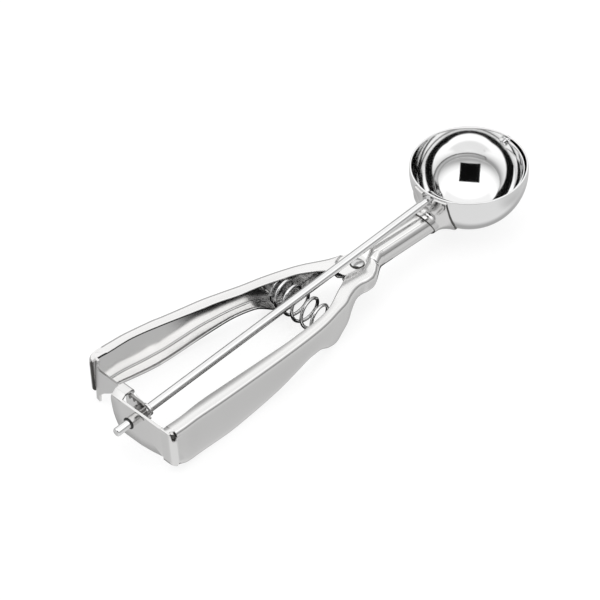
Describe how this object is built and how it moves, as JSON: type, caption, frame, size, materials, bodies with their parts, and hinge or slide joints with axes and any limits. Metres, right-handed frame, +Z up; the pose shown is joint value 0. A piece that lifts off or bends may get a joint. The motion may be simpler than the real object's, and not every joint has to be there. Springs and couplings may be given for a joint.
{
  "type": "lever ice cream scoop",
  "caption": "Lever ice cream scoop with a hemispherical bowl, a sweeping blade turned by a long rod, and two sprung pressed-sheet handles on a rivet.",
  "frame": {"origin": "middle of the footprint, on the table that the scoop lies on", "axes": "+X from the handles to the bowl, +Y towards the moving handle, +Z up out of the bowl's mouth"},
  "size_m": [0.2396, 0.0652, 0.0306],
  "materials": {
    "bowl_steel": "polished",
    "cast_steel": "satin polished",
    "bush_steel": "satin",
    "handle_steel": "soft polished",
    "polished_steel": "polished",
    "spring_steel": "bright",
    "rack_steel": "satin",
    "black_clip": "dark, semi matte",
    "blade_steel": "polished"
  },
  "bodies": {
    "frame": {"bowl": "bowl_steel", "bowl_socket": "cast_steel", "front_bush": "bush_steel", "fixed_handle": "handle_steel", "rack_guide": "handle_steel", "neck_shell": "handle_steel", "pivot_rivet": "polished_steel", "pivot_sleeve": "bush_steel", "spring_seat_fixed": "bush_steel", "handle_spring": "spring_steel", "rear_bush": "bush_steel", "guide_bush": "polished_steel", "scraper_pin": "polished_steel"},
    "lever": {"moving_handle": "handle_steel", "spring_seat_moving": "bush_steel"},
    "rack_link": {"rack": "rack_steel"},
    "drive": {"drive_rod": "polished_steel", "pinion": "bush_steel", "retaining_clip": "black_clip", "scraper": "blade_steel"}
  },
  "joints": [
    {"name": "handle_pivot", "type": "hinge", "parent": "frame", "child": "lever", "pos_m": [0.02034, -0.00618, 0.01374], "axis": [0.0428, 0, 0.9991], "range_deg": [0, 5.06], "stiffness_Nm_per_rad": 1.5, "springref_deg": -20.05, "deforming": ["handle_spring"]},
    {"name": "rack_hinge", "type": "hinge", "parent": "lever", "child": "rack_link", "pos_m": [-0.10026, 0.02642, 0.01241], "axis": [0.0428, 0, 0.9991], "range_deg": [-5.06, 0]},
    {"name": "rod_spin", "type": "hinge", "parent": "frame", "child": "drive", "pos_m": [-0.00764, -0.00618, 0.02208], "axis": [0.9991, 0, 0.0432], "range_deg": [0, 171]}
  ],
  "couplings": [
    {"joint": "rack_hinge", "follows": "handle_pivot", "ratio": -1},
    {"joint": "rod_spin", "follows": "handle_pivot", "ratio": 33.815}
  ]
}
